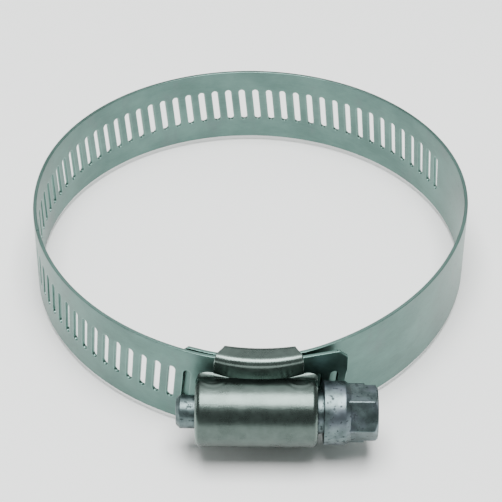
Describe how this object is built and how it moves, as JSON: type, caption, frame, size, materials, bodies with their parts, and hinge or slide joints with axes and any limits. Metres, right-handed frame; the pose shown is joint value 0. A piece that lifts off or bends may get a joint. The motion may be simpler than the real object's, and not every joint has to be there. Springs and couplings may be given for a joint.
{
  "type": "worm-drive hose clamp",
  "caption": "Worm-drive hose clamp: perforated steel band in a ring, stamped housing and slotted hex-head worm screw with a collar.",
  "frame": {"origin": "centre of the hose that the ring seats on, halfway across the band's width", "axes": "+Z along the hose, +X along the worm screw towards its head, the housing on the -Y side"},
  "size_m": [0.0731, 0.0882, 0.0162],
  "materials": {
    "housing_steel": "stamped stainless steel, satin, with drawn wrinkles at the corners",
    "band_steel": "rolled stainless strip, satin",
    "screw_steel": "dull zinc-plated steel, pitted and smudged"
  },
  "bodies": {
    "housing": {"housing": "housing_steel", "band_fixed": "band_steel"},
    "band_loop": {"band_loop": "band_steel"},
    "band_tail": {"band_tail": "band_steel"},
    "worm_screw": {"worm_screw": "screw_steel"}
  },
  "joints": [
    {"name": "screw_turn", "type": "hinge", "parent": "housing", "child": "worm_screw", "pos_m": [0.001, -0.0464, 0], "axis": [-1, 0, 0], "range_deg": [-360, 450]},
    {"name": "band_close", "type": "hinge", "parent": "housing", "child": "band_loop", "pos_m": [0.01653, 0.03187, 0], "axis": [0, 0, 1], "range_deg": [-2, 2.5]},
    {"name": "band_feed", "type": "hinge", "parent": "band_loop", "child": "band_tail", "pos_m": [-0.01087, -0.03973, 0], "axis": [0, 0, 1], "range_deg": [-3, 3.6]}
  ],
  "couplings": [
    {"joint": "band_close", "follows": "screw_turn", "ratio": 0.0052068},
    {"joint": "band_feed", "follows": "screw_turn", "ratio": 0.0075777}
  ]
}
